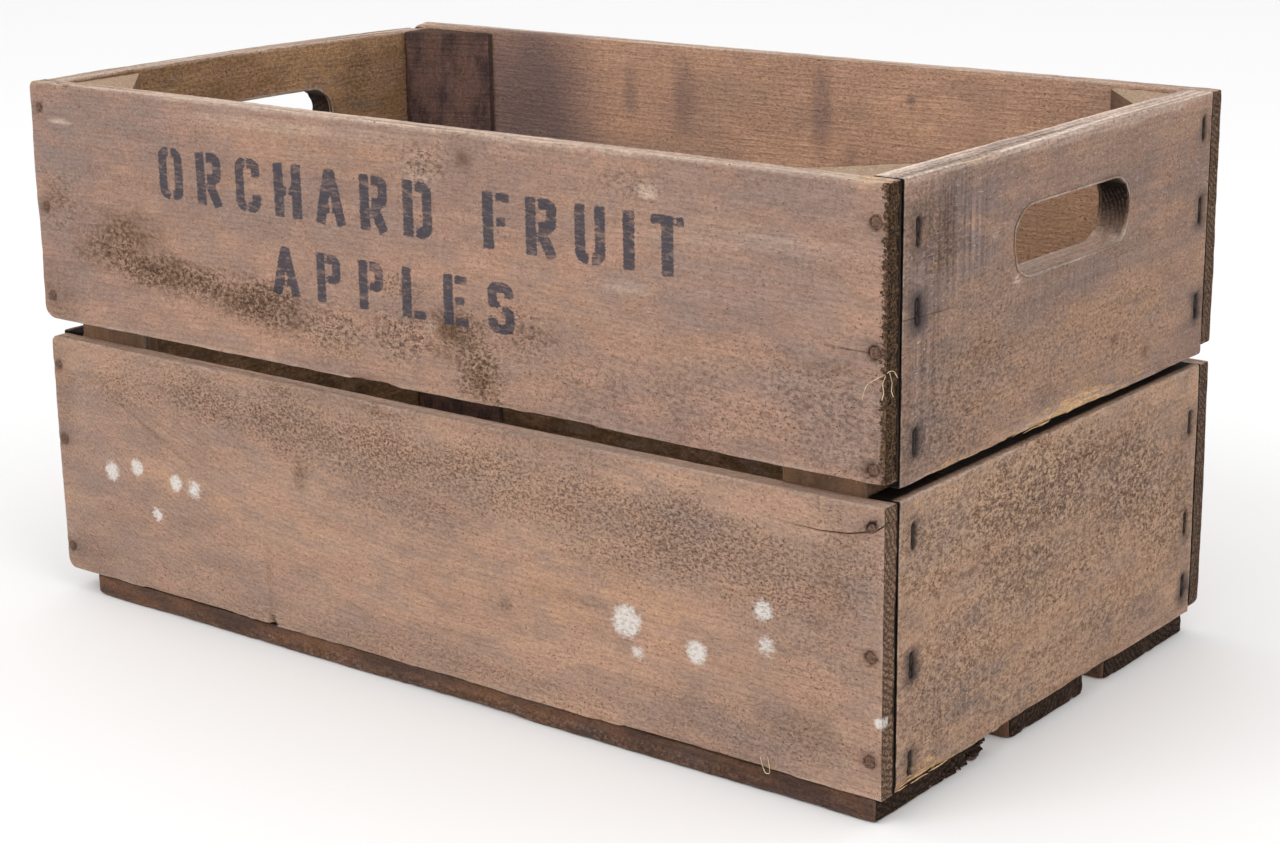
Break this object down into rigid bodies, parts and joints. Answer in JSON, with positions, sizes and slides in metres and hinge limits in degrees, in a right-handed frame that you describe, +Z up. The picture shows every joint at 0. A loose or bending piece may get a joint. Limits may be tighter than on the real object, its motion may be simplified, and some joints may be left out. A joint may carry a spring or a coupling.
{
  "type": "fruit crate",
  "caption": "Open wooden crate of nailed boards with a hand hole in each end, corner posts inside and lengthwise slats underneath.",
  "frame": {"origin": "centre of the footprint, on the plane that the bottom slats stand on", "axes": "+X along the crate, +Y from the front side to the back, +Z up"},
  "size_m": [0.5, 0.284, 0.264],
  "materials": {
    "side_wood": "bare sawn softwood, weathered grey-brown",
    "end_wood": "bare rough-sawn softwood, weathered",
    "post_wood": "bare rough-sawn softwood, dark with age",
    "slat_wood": "bare rough softwood, damp-stained dark brown",
    "rusty_steel": "rusted steel"
  },
  "bodies": {
    "root": {"front_upper_board": "side_wood", "front_lower_board": "side_wood", "back_upper_board": "side_wood", "back_lower_board": "side_wood", "left_end_upper_board": "end_wood", "left_end_lower_board": "end_wood", "right_end_upper_board": "end_wood", "right_end_lower_board": "end_wood", "corner_post_front_left": "post_wood", "corner_post_front_right": "post_wood", "corner_post_back_left": "post_wood", "corner_post_back_right": "post_wood", "bottom_slat_front": "slat_wood", "bottom_slat_middle": "slat_wood", "bottom_slat_back": "slat_wood", "front_upper_nails": "rusty_steel", "front_lower_nails": "rusty_steel", "back_upper_nails": "rusty_steel", "back_lower_nails": "rusty_steel", "left_end_upper_staples": "rusty_steel", "left_end_lower_staples": "rusty_steel", "right_end_upper_staples": "rusty_steel", "right_end_lower_staples": "rusty_steel", "slat_front_nails": "rusty_steel", "slat_middle_nails": "rusty_steel", "slat_back_nails": "rusty_steel"}
  },
  "joints": []
}
